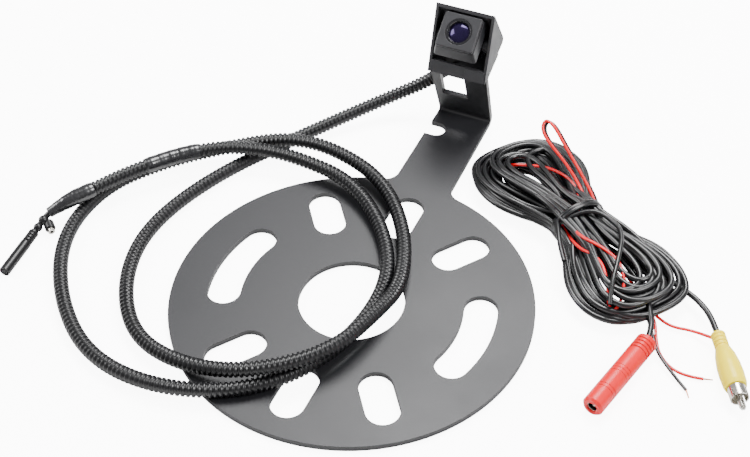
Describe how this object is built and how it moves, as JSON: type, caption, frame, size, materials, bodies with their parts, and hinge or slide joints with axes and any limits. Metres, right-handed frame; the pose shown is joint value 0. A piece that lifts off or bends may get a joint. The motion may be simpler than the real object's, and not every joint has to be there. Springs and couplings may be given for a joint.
{
  "type": "backup camera kit",
  "caption": "Spare-wheel mounting plate with a bent tab and hooded tilting camera, its corrugated lead, and a separate hanked extension lead with plugs.",
  "frame": {"origin": "centre of the bracket's centre bore, on the flat face that meets the wheel", "axes": "+Z along the bore out of the plate towards the camera side, +Y along the neck to the camera tab, +X completes the right hand"},
  "size_m": [0.3661, 0.2567, 0.0789],
  "materials": {
    "bracket_paint": "satin charcoal powder coat",
    "hood_plastic": "fine moulded texture",
    "case_plastic": "satin moulding",
    "screw_steel": "bright zinc plate",
    "seal_rubber": "matt",
    "lens_coated_glass": "violet coated",
    "ring_black": "gloss",
    "board_green": "solder mask",
    "sensor_dark": "gloss",
    "cable_pvc": "glossy PVC",
    "loom_plastic": "corrugated polypropylene",
    "tape": "vinyl tape",
    "contact_brass": "bright",
    "nickel": "bright nickel plate",
    "signal_red": "gloss",
    "plug_yellow": "gloss moulding",
    "insulator_white": "matt",
    "copper": "bare copper strands",
    "hank_cable": "glossy PVC"
  },
  "bodies": {
    "bracket": {"mounting_bracket": "bracket_paint", "camera_hood": "hood_plastic", "hood_screws": "screw_steel", "hood_nuts": "screw_steel", "cable_grommet": "seal_rubber", "camera_lead": "cable_pvc", "loom_conduit": "loom_plastic", "tape_wrap_1": "tape", "tape_wrap_2": "tape", "lead_tail": "cable_pvc", "lead_beads": "cable_pvc", "connector_body": "cable_pvc", "connector_contacts": "contact_brass", "branch_stub": "ring_black", "branch_contact": "nickel"},
    "camera": {"camera_front_case": "case_plastic", "camera_rear_case": "case_plastic", "case_gasket": "seal_rubber", "lens_barrel": "ring_black", "lens_glass": "lens_coated_glass", "lens_ring": "ring_black", "sensor_board": "board_green", "image_sensor": "sensor_dark", "pivot_pins": "screw_steel", "pivot_washers": "insulator_white"},
    "extension_lead": {"extension_hank": "hank_cable", "hank_tie": "cable_pvc", "power_loop": "signal_red", "video_cable": "cable_pvc", "trigger_wire": "signal_red", "rca_boot": "plug_yellow", "rca_shell": "nickel", "rca_insulator": "insulator_white", "rca_pin": "nickel", "socket_lead": "cable_pvc", "socket_body": "signal_red", "socket_sleeve": "nickel", "socket_pin": "nickel", "power_wire_red": "signal_red", "power_wire_black": "cable_pvc", "strand_tips": "copper"}
  },
  "joints": [
    {"name": "camera_tilt", "type": "hinge", "parent": "bracket", "child": "camera", "pos_m": [-0.0006, 0.1479, 0.0593], "axis": [1, 0, 0], "range_deg": [0, 36]},
    {"name": "extension_lift", "type": "slide", "parent": "bracket", "child": "extension_lead", "axis": [0, 0, 1], "range_m": [0, 0.12]}
  ]
}
